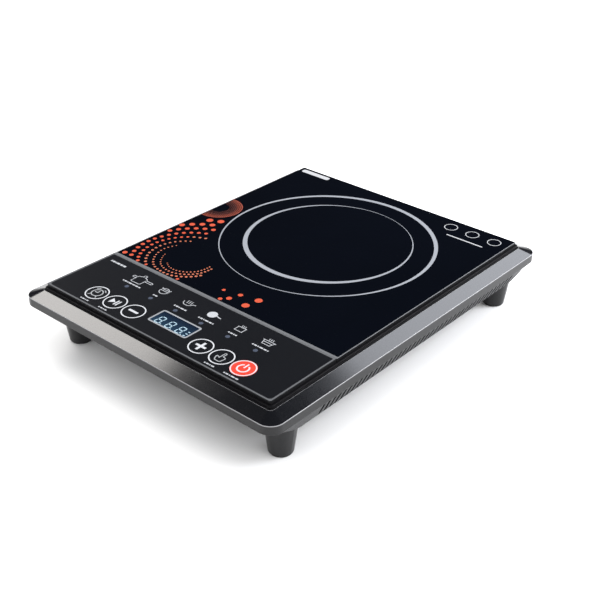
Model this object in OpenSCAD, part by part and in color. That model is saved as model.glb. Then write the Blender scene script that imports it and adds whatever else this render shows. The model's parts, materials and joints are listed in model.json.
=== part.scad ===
// Portable single-zone induction cooktop.
// Millimetres. X to the right, Y to the back, Z up. The origin is on the worktop, under the centre
// of the body, and the control panel faces -Y.

/* [Body] */
// Width over the rim
cook_w = 280; // [260:1:340]
// Depth over the rim
cook_d = 355; // [335:1:430]
// Height from the worktop to the glass
cook_h = 60; // [56:1:76]
// Rim beyond the raised deck, all round
rim_overhang = 15; // [12:0.5:20]
// Outer corner radius of the rim
rim_corner_r = 12; // [8:0.5:20]
// Height of the upright rim band
rim_band_h = 7.8; // [6:0.1:10]
// Drop of the sloping bezel across its width
bezel_drop = 4.1; // [3:0.1:6]
// Wall of both housings
wall_t = 2.5; // [2:0.1:3]

/* [Deck] */
// Depth of the control panel
panel_d = 72.5; // [68:0.5:90]
// Thickness of the glass plate
glass_t = 4; // [3:0.1:5]
// Thickness of the silicone bead under the glass
seal_t = 0.8; // [0.5:0.1:1.2]
// Width of the ledge that carries the glass
seat_w = 8; // [6:0.5:9]
// Thickness of the printed control overlay
overlay_t = 0.8; // [0.5:0.1:1]
// Height of the deck above the lip around it
lip_drop = 3.1; // [2:0.1:4]
// Corner radius of the deck
deck_corner_r = 1.5; // [1:0.1:3]

/* [Lower housing] */
// Height of the flat base above the worktop
base_z = 13; // [10:0.5:15]
// Height of the vented side walls
side_h = 13.3; // [12:0.1:14]
// Slope run of the vented side walls
side_slope = 6.8; // [5:0.1:8]
// Slope run of the front wall, which the rim hides
front_slope = 19.5; // [18:0.5:21]
// Slope run of the back wall
back_slope = 13.5; // [12:0.1:13.5]
// Inset of the flat base from the rim
base_inset = 34; // [32:0.5:38]
// Further inset of the flat base at the front
base_front = 9; // [6:0.5:9]
// Width of a side vent slot
vent_w = 3.1; // [1.6:0.1:3.4]
// Pitch of the side vent slots
vent_pitch = 6.25; // [4.5:0.05:7.5]
// Clear distance from the front rim to the first vent
vent_front = 58; // [50:1:80]
// Clear distance from the back rim to the last vent
vent_back = 39; // [35:1:60]

/* [Legs] */
// Leg centre from the side of the rim
leg_inset_x = 24.5; // [23:0.5:28]
// Front leg centre from the front of the rim
leg_inset_front = 36.5; // [34:0.5:45]
// Back leg centre from the back of the rim
leg_inset_back = 27.5; // [26:0.5:40]
// Leg radius at the top
leg_top_r = 13.6; // [12:0.1:13.6]
// Leg radius at the foot
leg_foot_r = 10; // [9:0.1:11]
// Thickness of the rubber foot pad
pad_t = 1.5; // [1:0.1:2]

/* [Keys and display] */
// Radius of a key
key_r = 10.4; // [9:0.1:10.6]
// Travel of a key
key_travel = 0.5; // [0.3:0.05:0.5]
// Distance of the key row from the front edge of the deck
key_y = 17.8; // [16:0.1:20]
// Distances of the three keys on each side from the middle
key_x = [38, 60, 82.2];
// Width of the display window
window_w = 43.1; // [38:0.1:44]
// Height of the display window
window_h = 19.4; // [17:0.1:21]
// Distance of the display window's middle from the front edge of the deck
window_y = 26.5; // [25:0.1:28]
// Distance of the row of lamps from the front edge of the deck
lamp_y = 40.9; // [39:0.1:44]
// Pitch of the mode lamps
lamp_pitch = 29; // [26:0.5:30]
// Radius of a lamp window
lamp_r = 2; // [1.8:0.1:2.4]
// Thickness of the control board
board_t = 1.6; // [1.2:0.1:2]
// Depth of the control board below the deck
control_drop = 11; // [10.5:0.1:12]

/* [Coil] */
// Outer radius of the induction coil
coil_r = 88; // [72:1:90]
// Inner radius of the induction coil
coil_hole_r = 26; // [22:0.5:30]
// Turns of the coil
coil_turns = 20; // [14:1:22]
// Height of the winding
coil_h = 4; // [3:0.1:5]
// Distance of the coil centre behind the middle of the body
coil_y = 50; // [40:1:50]
// Number of ferrite bars
ferrite_count = 8; // [4:2:10]

/* [Fan] */
// Side of the square fan frame
fan_size = 80; // [70:1:92]
// Height of the fan frame
fan_h = 18; // [15:0.5:19]
// Number of fan blades
blade_count = 7; // [5:1:9]
// Radius of the fan shaft
shaft_r = 1.5; // [1.2:0.1:2]

/* [Cord inlet] */
// Bore of the cord gland
gland_bore_r = 4; // [3.5:0.1:4.4]
// Distance of the gland to the left of the middle
gland_x = 70; // [40:1:80]

/* [Hidden] */
$fn = 64;
cut = 1;

// Clearances
slide_gap = 0.25;
glass_gap = 0.15;
screw_gap = 0.1;
film_gap = 0.05;
bearing_gap = 0.04;

// Deck and housings
deck_w = cook_w - 2 * rim_overhang;
deck_d = cook_d - 2 * rim_overhang;
deck_front = -deck_d / 2;
deck_back = deck_d / 2;
divider_y = deck_front + panel_d;
panel_z = cook_h - overlay_t;
seat_z = cook_h - glass_t - seal_t;
lip_z = cook_h - lip_drop;
lip_out = 1.8;
bezel_out = 3.2;
bezel_top_z = lip_z - 2.2;
bezel_low_z = bezel_top_z - bezel_drop;
split_z = bezel_low_z - rim_band_h;
root_h = 0.5;

// Lower housing rings, each [side inset, front inset, back inset, depth below the rim, corner radius]
rim_gap = 0.5;
back_ledge = 9.5;
knee_z = split_z - side_h;
knee_chamfer = 1.3;
neck_h = side_h - 5;
function side_at(depth) = rim_gap + (side_slope - rim_gap) * depth / side_h;
function front_at(depth) = rim_gap + (front_slope - rim_gap) * depth / side_h;
outer_rings = [
    [rim_gap, rim_gap, rim_gap, 0, 14],
    [side_at(1), front_at(1), rim_gap + 0.1, 1, 14],
    [side_at(2), front_at(2), back_ledge, 2, 15],
    [side_at(neck_h), front_at(neck_h), back_ledge + 0.5, neck_h, 17],
    [side_slope, front_slope, back_slope, side_h, 19],
    [side_slope + 1.2, front_slope + 2, back_slope + 1.4, side_h + knee_chamfer, 19.5],
    [base_inset, base_inset + base_front, base_inset, split_z - base_z, 22]];
// Horizontal thickness of each sloping wall
side_t = wall_t * 1.12;
front_t = wall_t * 1.8;
back_t = wall_t * 1.2;
inner_rings = [
    [side_at(-cut) + side_t + 0.3, front_at(-cut) + front_t, back_ledge + wall_t + 0.3, -cut, 11],
    [side_at(neck_h) + side_t, front_at(neck_h) + front_t, back_ledge + wall_t + 0.6, neck_h, 14],
    [side_slope + side_t - 0.6, front_slope + front_t - 2, back_slope + back_t - 1.2, side_h - 2, 16],
    [base_inset + 1.2, base_inset + base_front + 1.2, base_inset + 1.2, split_z - base_z - wall_t, 20]];
floor_z = base_z + wall_t;

// Screws
screw_r = 1.5;
screw_head_r = 2.9;
screw_head_h = 2;
boss_r = 4.5;
leg_x = cook_w / 2 - leg_inset_x;
leg_places = [for (x = [-leg_x, leg_x], y = [-cook_d / 2 + leg_inset_front, cook_d / 2 - leg_inset_back])
    [x, y]];
leg_screw_z = 12;
leg_screw_top = cook_h - 9;

// Control board, keys, display and lamps
control_w = deck_w - 40;
control_top = cook_h - control_drop;
control_front = deck_front + 4.5;
control_back = divider_y - 10;
control_posts = [for (x = [-1, 1], y = [control_front + 5, control_back - 5]) [x * (control_w / 2 - 6), y]];
key_places = [-key_x[2], -key_x[1], -key_x[0], key_x[0], key_x[1], key_x[2]];
key_row = deck_front + key_y;
key_t = 1.4;
key_pocket_z = cook_h - key_t - key_travel - 0.3;
stem_r = 2.6;
plunger_r = 1.75;
plunger_top = control_top + 6.5;
switch_w = 6.2;
switch_h = 3.6;
window_r = 2.3;
window_row = deck_front + window_y;
window_ledge = 1;
lamp_row = deck_front + lamp_y;
lamp_places = [for (i = [-2.5 : 2.5]) i * lamp_pitch];

// Coil
former_r = coil_r + 4;
former_t = 2.5;
sensor_r = 8;
lead_hole = 14;
mica_t = 0.5;
coil_base = cook_h - glass_t - 4.5 - coil_h;
former_base = coil_base - former_t;
ferrite_h = 5;
ferrite_w = 12;
ear_r = 7;
ear_reach = coil_r + 10;
ear_places = [for (a = [45 : 90 : 315]) [ear_reach * cos(a), coil_y + ear_reach * sin(a)]];
turn_pitch = (coil_r - coil_hole_r) / (coil_turns + 0.5);
turn_w = turn_pitch - 0.5;

// Fan
fan_x = 30;
fan_y = coil_y - 2;
fan_bore_r = fan_size / 2 - 1.8;
blade_r = fan_bore_r - 1.2;
hub_r = 17;
hub_h = 11;
rotor_z = floor_z + 1.5;
fan_top = floor_z + fan_h;
fan_base_t = 2.2;
fan_base_z = fan_top - fan_base_t;
fan_hole = fan_size / 2 - 4.2;
bearing_r = 3.2;
cap_t = 1.6;
magnet_t = 1.4;

// Main board
board_w = 190;
board_front = -cook_d / 2 + 42.5;
board_back = coil_y - former_r + 4;
board_z = floor_z + 6;
board_top = board_z + board_t;
board_posts = [for (x = [-1, 1], y = [board_front + 5, board_back - 5]) [x * (board_w / 2 - 5), y]];
power_row = board_back - 31;
part_row = board_front + 22;
sink_x = 35;
sink_w = 80;
sink_d = 38;
sink_z = board_top + 6.2;
sink_h = 16;
sink_base_t = 3;
chip_gap = 0.8;
chip_x = 20;
lead_r = 1.4;
terminal_y = board_back - 8;
terminal_size = 8;
terminal_x = [-30, -45];
ribbon_x = 50;
ribbon_t = 1;
header_h = 8;
header_low_h = control_top - board_t - 6;

// Cord gland
gland_z = split_z - 11.3;
gland_flange_r = 8;
gland_flange_t = 3;
gland_barrel_r = 6;
pocket_half = 12;
pocket_y = cook_d / 2 - 24;
gland_l = 9;

// ---- shared shapes ----

// A flat outline with rounded corners, centred on the origin.
module rounded_rect(w, d, r) {
    union() {
        square([w - 2 * r, d], center = true);
        square([w, d - 2 * r], center = true);
        for (x = [-1, 1], y = [-1, 1])
            translate([x * (w / 2 - r), y * (d / 2 - r)]) circle(r);
    }
}

module slab(w, d, r, z0, z1) {
    translate([0, 0, z0]) linear_extrude(z1 - z0) rounded_rect(w, d, r);
}

// Points of a slice's outline, corner by corner.
function slice_points(inset, r, z) = [
    for (c = [[1, 1, 0], [-1, 1, 90], [-1, -1, 180], [1, -1, 270]], a = [0 : 90 / 8 : 90])
        [c[0] * (cook_w / 2 - inset - r) + r * cos(c[2] + a),
         c[1] * (cook_d / 2 - inset - r) + r * sin(c[2] + a), z]];

// A closed skin through slices that have the same number of points, from low to high.
module loft(rings) {
    n = len(rings[0]);
    top = len(rings) - 1;
    polyhedron(
        points = [for (ring = rings) each ring],
        faces = concat(
            [[for (i = [0 : n - 1]) i]],
            [[for (i = [n - 1 : -1 : 0]) top * n + i]],
            [for (k = [0 : top - 1], i = [0 : n - 1])
                [k * n + i, (k + 1) * n + i, (k + 1) * n + (i + 1) % n, k * n + (i + 1) % n]]));
}

// Points of a slice of the lower housing, corner by corner.
function ring_points(ring) = [
    for (c = [[1, 1, 0, 2], [-1, 1, 90, 2], [-1, -1, 180, 1], [1, -1, 270, 1]], a = [0 : 90 / 8 : 90])
        [c[0] * (cook_w / 2 - ring[0] - ring[4]) + ring[4] * cos(c[2] + a),
         c[1] * (cook_d / 2 - ring[c[3]] - ring[4]) + ring[4] * sin(c[2] + a), split_z - ring[3]]];

module lower_shape(rings) {
    loft([for (k = [len(rings) - 1 : -1 : 0]) ring_points(rings[k])]);
}

// Tube or rod standing on a place.
module rod(place, r, z0, z1) {
    translate([place[0], place[1], z0]) cylinder(r = r, h = z1 - z0);
}

module box(x, y, z0, w, d, h) {
    translate([x - w / 2, y - d / 2, z0]) cube([w, d, h]);
}

// Pan-head screw, head above z, with a cross recess. up = false turns it over.
module screw(place, z, length, up = true) {
    translate([place[0], place[1], z]) mirror([0, 0, up ? 0 : 1]) difference() {
        union() {
            cylinder(r = screw_head_r, h = screw_head_h);
            translate([0, 0, -length]) cylinder(r = screw_r, h = length);
        }
        for (a = [0, 90]) rotate([0, 0, a])
            translate([-1.8, -0.35, screw_head_h - 0.9]) cube([3.6, 0.7, 2]);
    }
}

// Round wire through a list of points.
module wire(points, r) {
    for (i = [0 : len(points) - 2]) {
        step = points[i + 1] - points[i];
        l = norm(step);
        translate(points[i]) rotate([0, acos(step[2] / l), atan2(step[1], step[0])])
            cylinder(r = r, h = l);
    }
    for (i = [1 : 1 : len(points) - 2]) translate(points[i]) sphere(r);
}

// ---- housings ----

module top_housing() {
    color([0.06, 0.06, 0.065]) difference() {
        union() {
            top_shell();
            for (p = leg_places)
                rod(p, boss_r, split_z, (p[1] < divider_y ? panel_z : seat_z) - wall_t + root_h);
            for (p = control_posts) rod(p, 3, control_top, panel_z - wall_t + root_h);
        }
        for (p = leg_places) rod(p, screw_r + screw_gap, split_z - cut, leg_screw_top + 0.5);
        for (p = control_posts) rod(p, screw_r + screw_gap, control_top - cut, control_top + 5);
    }
}

// The moulded shell: rim band, bezel, lip and panel top, hollow inside.
module top_shell() {
    difference() {
        union() {
            loft([
                slice_points(0, rim_corner_r, split_z),
                slice_points(0, rim_corner_r, bezel_low_z),
                slice_points(rim_overhang - bezel_out, deck_corner_r + 1, bezel_top_z)]);
            slab(deck_w + 2 * lip_out, deck_d + 2 * lip_out, deck_corner_r + 1, bezel_low_z, lip_z);
            intersection() {
                slab(deck_w, deck_d, deck_corner_r, bezel_low_z, panel_z);
                translate([-cook_w, deck_front - cut, bezel_low_z]) cube([2 * cook_w, panel_d + cut, cook_h]);
            }
        }
        loft([
            slice_points(wall_t, rim_corner_r - wall_t, split_z - cut),
            slice_points(wall_t, rim_corner_r - wall_t, bezel_low_z - wall_t),
            slice_points(rim_overhang, deck_corner_r, bezel_top_z - wall_t)]);
        panel_hollow();
        glass_opening();
        deck_cuts();
    }
}

// Hollow under the control panel, up to its top wall.
module panel_hollow() {
    difference() {
        slab(deck_w - 2 * wall_t, deck_d - 2 * wall_t, deck_corner_r, bezel_low_z - wall_t - cut,
            panel_z - wall_t);
        translate([-cook_w, divider_y - wall_t, seat_z - wall_t])
            cube([2 * cook_w, cook_d, cook_h]);
    }
}

// Opening under the glass, and the recess that takes the plate.
module glass_opening() {
    glass_d = deck_back - divider_y;
    translate([-deck_w / 2 + seat_w, divider_y + seat_w, split_z - cut])
        cube([deck_w - 2 * seat_w, glass_d - 2 * seat_w, cook_h]);
    translate([-deck_w / 2 - glass_gap, divider_y, seat_z])
        cube([deck_w + 2 * glass_gap, glass_d + glass_gap, cook_h]);
}

// Holes of the control panel.
module deck_cuts() {
    for (x = key_places) {
        rod([x, key_row], key_r + slide_gap, key_pocket_z, cook_h + cut);
        rod([x, key_row], stem_r + slide_gap, panel_z - wall_t - cut, cook_h);
    }
    for (x = lamp_places) rod([x, lamp_row], lamp_r - 0.2, panel_z - wall_t - cut, cook_h + cut);
    box(0, window_row, panel_z - wall_t - cut, window_w - 2 * window_ledge, window_h - 2 * window_ledge,
        wall_t + 2 * cut);
}

module bottom_housing() {
    color([0.16, 0.16, 0.17]) difference() {
        union() {
            difference() {
                lower_shape(outer_rings);
                lower_shape(inner_rings);
            }
            intersection() {
                lower_shape(outer_rings);
                union() {
                    for (p = leg_places) rod(p, boss_r, base_z, split_z);
                    box(-gland_x, pocket_y - wall_t + 10, base_z, 2 * (pocket_half + wall_t), 20, cook_h);
                }
            }
            for (p = board_posts) rod(p, 4, floor_z - root_h, board_z);
            for (p = ear_places) rod(p, 4, floor_z - root_h, former_base);
        }
        for (p = leg_places) rod(p, screw_r + 0.3, 0, cook_h);
        for (p = board_posts) rod(p, screw_r + screw_gap, floor_z - 1, board_z + cut);
        for (p = ear_places) rod(p, screw_r + screw_gap, former_base - 10, former_base + cut);
        for (x = [-1, 1], y = [-1, 1])
            rod([fan_x + x * fan_hole, fan_y + y * fan_hole], screw_r + screw_gap, floor_z - 1.5, floor_z + cut);
        translate([-gland_x - pocket_half, pocket_y, 0]) cube([2 * pocket_half, 30, split_z - wall_t]);
        translate([-gland_x, pocket_y - wall_t - cut, gland_z]) rotate([-90, 0, 0])
            cylinder(r = gland_barrel_r + screw_gap, h = wall_t + 2 * cut);
        side_vents();
        fan_grille();
    }
}

// Upright slots through both sloping sides.
module side_vents() {
    first = -cook_d / 2 + vent_front;
    last = cook_d / 2 - vent_back;
    count = floor((last - first) / vent_pitch);
    for (side = [-1, 1], i = [0 : count])
        translate([side * (cook_w / 2 - 10) - 12, first + i * vent_pitch - vent_w / 2, knee_z + 0.4])
            cube([24, vent_w, side_h - 1.6]);
}

// Rings and spokes of the air inlet under the fan.
module fan_grille() {
    translate([fan_x, fan_y, base_z - cut]) difference() {
        for (r = [11 : 5.5 : fan_bore_r - 4]) difference() {
            cylinder(r = r + 3.5, h = wall_t + 2 * cut);
            translate([0, 0, -cut]) cylinder(r = r, h = wall_t + 4 * cut);
        }
        for (a = [0 : 60 : 120]) rotate([0, 0, a])
            translate([-fan_size, -1.5, -cut]) cube([2 * fan_size, 3, wall_t + 4 * cut]);
    }
}

// ---- deck ----

module glass_plate() {
    color([0.03, 0.035, 0.045]) intersection() {
        slab(deck_w, deck_d, deck_corner_r, cook_h - glass_t, cook_h);
        translate([-cook_w, divider_y + 2 * glass_gap, 0]) cube([2 * cook_w, cook_d, 2 * cook_h]);
    }
}

module glass_seal() {
    bead_gap = 0.6;
    bead_d = deck_back - divider_y - 2 * bead_gap;
    color([0.2, 0.2, 0.2]) translate([0, (divider_y + deck_back) / 2, 0]) difference() {
        box(0, 0, seat_z, deck_w - 2 * bead_gap, bead_d, seal_t);
        box(0, 0, seat_z - cut, deck_w - 2 * seat_w + bead_gap, bead_d - 2 * seat_w + 3 * bead_gap, seal_t + 2 * cut);
    }
}

module control_overlay() {
    color([0.12, 0.125, 0.14]) difference() {
        intersection() {
            slab(deck_w, deck_d, deck_corner_r, panel_z, cook_h);
            translate([-cook_w, deck_front - cut, 0]) cube([2 * cook_w, panel_d + cut, 2 * cook_h]);
        }
        for (x = key_places) rod([x, key_row], key_r + slide_gap, panel_z - cut, cook_h + cut);
        for (x = lamp_places) rod([x, lamp_row], lamp_r, panel_z - cut, cook_h + cut);
        translate([0, window_row, panel_z - cut]) linear_extrude(overlay_t + 2 * cut)
            rounded_rect(window_w, window_h, window_r);
    }
}

module display_lens() {
    color([0.1, 0.16, 0.35]) translate([0, window_row, panel_z]) linear_extrude(overlay_t)
        rounded_rect(window_w - 2 * film_gap, window_h - 2 * film_gap, window_r - film_gap);
}

module lamp_windows() {
    color([0.55, 0.58, 0.62]) for (x = lamp_places)
        rod([x, lamp_row], lamp_r - film_gap, panel_z, cook_h);
}

module mode_lamps() {
    color([0.8, 0.2, 0.15]) for (x = lamp_places) {
        rod([x, lamp_row], 1.5, control_top, panel_z - 1.2);
        rod([x, lamp_row], 1.9, control_top, control_top + 1);
    }
}

module display_module() {
    module_h = panel_z - 1 - control_top;
    color([0.85, 0.85, 0.82]) difference() {
        box(0, window_row, control_top, window_w - 4.5, window_h - 3, module_h);
        for (i = [-1 : 1]) box(i * 12, window_row, control_top + module_h - 0.6, 8, 12, 2);
    }
}

module control_board() {
    color([0.1, 0.4, 0.2]) difference() {
        translate([-control_w / 2, control_front, control_top - board_t])
            cube([control_w, control_back - control_front, board_t]);
        for (p = control_posts) rod(p, screw_r + screw_gap, 0, cook_h);
    }
}

module switch_bodies() {
    color([0.2, 0.2, 0.2]) for (x = key_places) difference() {
        box(x, key_row, control_top, switch_w, switch_w, switch_h);
        rod([x, key_row], plunger_r + slide_gap, control_top + 0.6, cook_h);
    }
}

module key(i, colour) {
    color(colour) {
        rod([key_places[i], key_row], key_r, cook_h - key_t, cook_h);
        rod([key_places[i], key_row], stem_r, plunger_top, cook_h - key_t);
    }
}

module plunger(i) {
    color([0.1, 0.1, 0.1]) rod([key_places[i], key_row], plunger_r, control_top + 1.4, plunger_top);
}

// ---- electronics ----

module main_board() {
    color([0.55, 0.42, 0.2]) difference() {
        translate([-board_w / 2, board_front, board_z]) cube([board_w, board_back - board_front, board_t]);
        for (p = board_posts) rod(p, screw_r + screw_gap, 0, cook_h);
    }
}

module ribbon_headers() {
    color([0.9, 0.9, 0.86]) {
        box(ribbon_x, part_row, board_top, 20, 6, header_h);
        box(ribbon_x, part_row, header_low_h, 20, 6, 6);
    }
}

module ribbon_cable() {
    low = board_top + header_h;
    r = (header_low_h - low) / 2;
    color([0.7, 0.7, 0.72]) translate([ribbon_x - 9, part_row, low + r]) rotate([90, 0, 90])
        intersection() {
            difference() {
                cylinder(r = r, h = 18);
                translate([0, 0, -cut]) cylinder(r = r - ribbon_t, h = 18 + 2 * cut);
            }
            translate([0, -cook_h, -cut]) cube([cook_h, 2 * cook_h, 20 + cut]);
        }
}

module heatsink() {
    color([0.75, 0.76, 0.78]) difference() {
        union() {
            box(sink_x, power_row, sink_z, sink_w, sink_d, sink_base_t);
            for (i = [0 : 9])
                translate([sink_x - sink_w / 2 + i * (sink_w - 1.6) / 9, power_row - sink_d / 2, sink_z])
                    cube([1.6, sink_d, sink_h]);
        }
        for (x = [-1, 1]) {
            rod([sink_x + x * chip_x, power_row], screw_r + screw_gap, 0, cook_h);
            rod([sink_x + x * chip_x, power_row], screw_head_r + 0.6, sink_z + sink_base_t, cook_h);
        }
    }
}

// Flat power package with its legs bent down into the board.
module power_package(x, w, d, h, pins) {
    difference() {
        box(x, power_row, board_top + chip_gap, w, d, sink_z - board_top - chip_gap);
        rod([x, power_row], screw_r + screw_gap, 0, cook_h);
    }
    for (i = [0 : pins - 1]) {
        pin_x = x + (i - (pins - 1) / 2) * 5;
        box(pin_x, power_row - d / 2 - 2, board_top + h / 2, 1.2, 4, 0.6);
        box(pin_x, power_row - d / 2 - 3.7, board_top, 1.2, 0.6, h / 2 + 0.6);
    }
}

module power_transistor() {
    color([0.1, 0.1, 0.1]) power_package(sink_x - chip_x, 16, 20, 5, 3);
}

module bridge_rectifier() {
    color([0.12, 0.12, 0.12]) power_package(sink_x + chip_x, 24, 20, 5, 4);
}

module filter_capacitor() {
    color([0.85, 0.75, 0.2]) box(-75, power_row - 4, board_top, 32, 18, 24);
}

module resonant_capacitor() {
    color([0.8, 0.72, 0.2]) box(-34, power_row - 4, board_top, 32, 20, 22);
}

module choke_core() {
    color([0.3, 0.32, 0.3]) translate([-70, part_row + 2, board_top + 2.4])
        rotate_extrude() translate([8.5, 0]) square([8, 11]);
}

module choke_winding() {
    turn_t = 1.2;
    slip = 0.1;
    color([0.75, 0.4, 0.15]) translate([-70, part_row + 2, board_top + 2.4])
        for (half = [0, 180], a = [-60 : 20 : 60]) rotate([0, 0, a + half]) translate([8.5, 0, 0])
            difference() {
                translate([-turn_t - slip, -turn_t / 2, -turn_t - slip])
                    cube([8 + 2 * (turn_t + slip), turn_t, 11 + 2 * (turn_t + slip)]);
                translate([-slip, -turn_t, -slip]) cube([8 + 2 * slip, 2 * turn_t, 11 + 2 * slip]);
            }
}

module standby_transformer() {
    color([0.75, 0.7, 0.3]) {
        box(-32, part_row, board_top, 22, 18, 3);
        box(-32, part_row, board_top + 3, 15, 12, 10);
        box(-32, part_row, board_top + 13, 22, 18, 3);
    }
}

module electrolytic_capacitors() {
    color([0.15, 0.2, 0.4]) {
        rod([0, part_row], 5, board_top, board_top + 16);
        rod([13, part_row], 5, board_top, board_top + 16);
        rod([27, part_row + 2], 6.3, board_top, board_top + 18);
    }
}

module line_fuse() {
    color([0.8, 0.8, 0.8]) translate([10, board_front + 7, board_top + 3.4]) rotate([0, 90, 0]) {
        cylinder(r = 2.5, h = 20, center = true);
        for (x = [-8, 8]) translate([0, 0, x]) difference() {
            translate([-2, -3.4, -2]) cube([5.4, 6.8, 4]);
            cylinder(r = 2.4, h = 6, center = true);
        }
    }
}

module buzzer() {
    color([0.1, 0.1, 0.1]) difference() {
        rod([80, part_row], 6, board_top, board_top + 8);
        rod([80, part_row], 1, board_top + 5, board_top + 9);
    }
}

module coil_terminals() {
    color([0.8, 0.65, 0.3]) for (x = terminal_x)
        box(x, terminal_y, board_top, terminal_size, terminal_size, terminal_size);
}

module coil_leads() {
    lead_z = coil_base + coil_h / 2;
    under_z = former_base - 2;
    top = board_top + terminal_size;
    start_y = coil_y - sqrt(coil_r * coil_r - terminal_x[0] * terminal_x[0]) - 0.7;
    inner_y = coil_y - lead_hole;
    side_y = coil_y - former_r + 2;
    color([0.85, 0.3, 0.2]) {
        wire([[terminal_x[0], start_y, lead_z], [terminal_x[0], terminal_y, lead_z],
            [terminal_x[0], terminal_y, top]], lead_r);
        wire([[0, coil_y - coil_hole_r - turn_pitch / 2 + 0.1, lead_z], [0, inner_y, lead_z], [0, inner_y, under_z],
            [0, side_y, under_z], [terminal_x[1], side_y, under_z],
            [terminal_x[1], terminal_y, under_z], [terminal_x[1], terminal_y, top]], lead_r);
    }
}

// ---- coil ----

module coil_former() {
    color([0.85, 0.85, 0.82]) difference() {
        union() {
            rod([0, coil_y], former_r, former_base, coil_base);
            for (p = ear_places) rod(p, ear_r, former_base, coil_base);
        }
        rod([0, coil_y], sensor_r + screw_gap, former_base - cut, coil_base + cut);
        rod([0, coil_y - lead_hole], lead_r + 0.4, former_base - cut, coil_base + cut);
        for (p = ear_places) rod(p, screw_r + screw_gap, former_base - cut, coil_base + cut);
    }
}

// Flat spiral: each half turn is half a ring, and the two halves have centres half a pitch apart.
module induction_coil() {
    color([0.75, 0.42, 0.2]) translate([0, coil_y, coil_base]) union() {
        for (i = [0 : coil_turns - 1]) {
            inner = coil_hole_r + i * turn_pitch;
            half_turn(inner, 0);
            translate([-turn_pitch / 2, 0, 0]) half_turn(inner + turn_pitch / 2, 180);
        }
    }
}

module half_turn(inner, start) {
    rotate([0, 0, start]) rotate_extrude(angle = 180) translate([inner, 0]) square([turn_w, coil_h]);
}

module ferrite_bars() {
    bar_in = coil_hole_r + 4;
    color([0.2, 0.2, 0.21]) for (i = [0 : ferrite_count - 1])
        translate([0, coil_y, former_base - ferrite_h]) rotate([0, 0, (i + 0.5) * 360 / ferrite_count])
            translate([bar_in, -ferrite_w / 2, 0]) cube([coil_r - 6 - bar_in, ferrite_w, ferrite_h]);
}

module mica_sheet() {
    color([0.75, 0.72, 0.6]) difference() {
        rod([0, coil_y], coil_r, coil_base + coil_h, coil_base + coil_h + mica_t);
        rod([0, coil_y], sensor_r + 2, 0, cook_h);
    }
}

module sensor_cap() {
    color([0.9, 0.9, 0.9]) difference() {
        union() {
            rod([0, coil_y], sensor_r, former_base, cook_h - glass_t);
            rod([0, coil_y], sensor_r + 1.5, coil_base, coil_base + 1);
        }
        rod([0, coil_y], 2.2, cook_h - glass_t - 4, cook_h);
    }
}

module thermistor() {
    color([0.3, 0.25, 0.2]) rod([0, coil_y], 2, cook_h - glass_t - 3.8, cook_h - glass_t - 0.1);
}

// ---- fan ----

module fan_frame() {
    color([0.08, 0.08, 0.08]) translate([fan_x, fan_y, 0]) difference() {
        union() {
            difference() {
                box(0, 0, floor_z, fan_size, fan_size, fan_h);
                rod([0, 0], fan_bore_r, floor_z - cut, fan_top + cut);
                for (a = [0 : 90 : 270]) rotate([0, 0, a])
                    translate([-fan_size / 2 + 10, -fan_size / 2 - cut, floor_z + 3])
                        cube([fan_size - 20, 1.5 + cut, fan_h - 6]);
            }
            rod([0, 0], hub_r, fan_base_z, fan_top);
            for (a = [45 : 90 : 315]) rotate([0, 0, a])
                translate([hub_r - 1, -2, fan_base_z]) cube([fan_bore_r - hub_r + 2, 4, fan_base_t]);
        }
        rod([0, 0], bearing_r, 0, cook_h);
        for (x = [-1, 1], y = [-1, 1]) rod([x * fan_hole, y * fan_hole], screw_r + 0.3, 0, cook_h);
    }
}

module fan_rotor() {
    blade_l = blade_r - hub_r + 2;
    color([0.12, 0.12, 0.12]) translate([fan_x, fan_y, rotor_z]) difference() {
        union() {
            cylinder(r = hub_r, h = hub_h);
            intersection() {
                for (i = [0 : blade_count - 1]) rotate([0, 0, i * 360 / blade_count])
                    translate([hub_r - 2, 0, hub_h / 2]) rotate([38, 0, 0])
                        translate([0, -8, -0.7]) cube([blade_l + 4, 16, 1.4]);
                cylinder(r = blade_r, h = hub_h);
            }
        }
        translate([0, 0, cap_t]) cylinder(r = hub_r - 1.4, h = hub_h);
        translate([0, 0, -cut]) cylinder(r = shaft_r, h = hub_h);
    }
}

module fan_magnet() {
    r = hub_r - 1.4;
    color([0.25, 0.25, 0.25]) translate([fan_x, fan_y, rotor_z + cap_t]) difference() {
        cylinder(r = r, h = hub_h - cap_t - 0.4);
        translate([0, 0, -cut]) cylinder(r = r - magnet_t, h = hub_h);
    }
}

module fan_shaft() {
    color([0.75, 0.75, 0.78]) rod([fan_x, fan_y], shaft_r, rotor_z, fan_top - 0.6);
}

module fan_bearing() {
    low = rotor_z + cap_t + 1;
    color([0.7, 0.55, 0.3]) difference() {
        rod([fan_x, fan_y], bearing_r, low, fan_top - 0.2);
        rod([fan_x, fan_y], shaft_r + bearing_gap, low - cut, fan_top + cut);
    }
}

module fan_stator() {
    low = rotor_z + cap_t + 2;
    r = hub_r - 1.4 - magnet_t - 0.5;
    color([0.7, 0.38, 0.15]) translate([fan_x, fan_y, 0]) difference() {
        union() {
            rod([0, 0], 5, low, fan_base_z);
            for (a = [0 : 90 : 270]) rotate([0, 0, a]) {
                translate([4, -2, low + 1]) cube([5, 4, 5]);
                intersection() {
                    rod([0, 0], r, low + 1, low + 6);
                    translate([8, -7, 0]) cube([10, 14, cook_h]);
                }
            }
        }
        rod([0, 0], bearing_r, 0, cook_h);
    }
}

// ---- legs and fasteners ----

module legs() {
    color([0.2, 0.2, 0.21]) difference() {
        for (p = leg_places) translate([p[0], p[1], pad_t])
            cylinder(r1 = leg_foot_r, r2 = leg_top_r, h = knee_z - pad_t);
        lower_shape(outer_rings);
        for (p = leg_places) {
            rod(p, screw_r + 0.3, 0, cook_h);
            rod(p, boss_r, 0, leg_screw_z);
        }
    }
}

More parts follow.
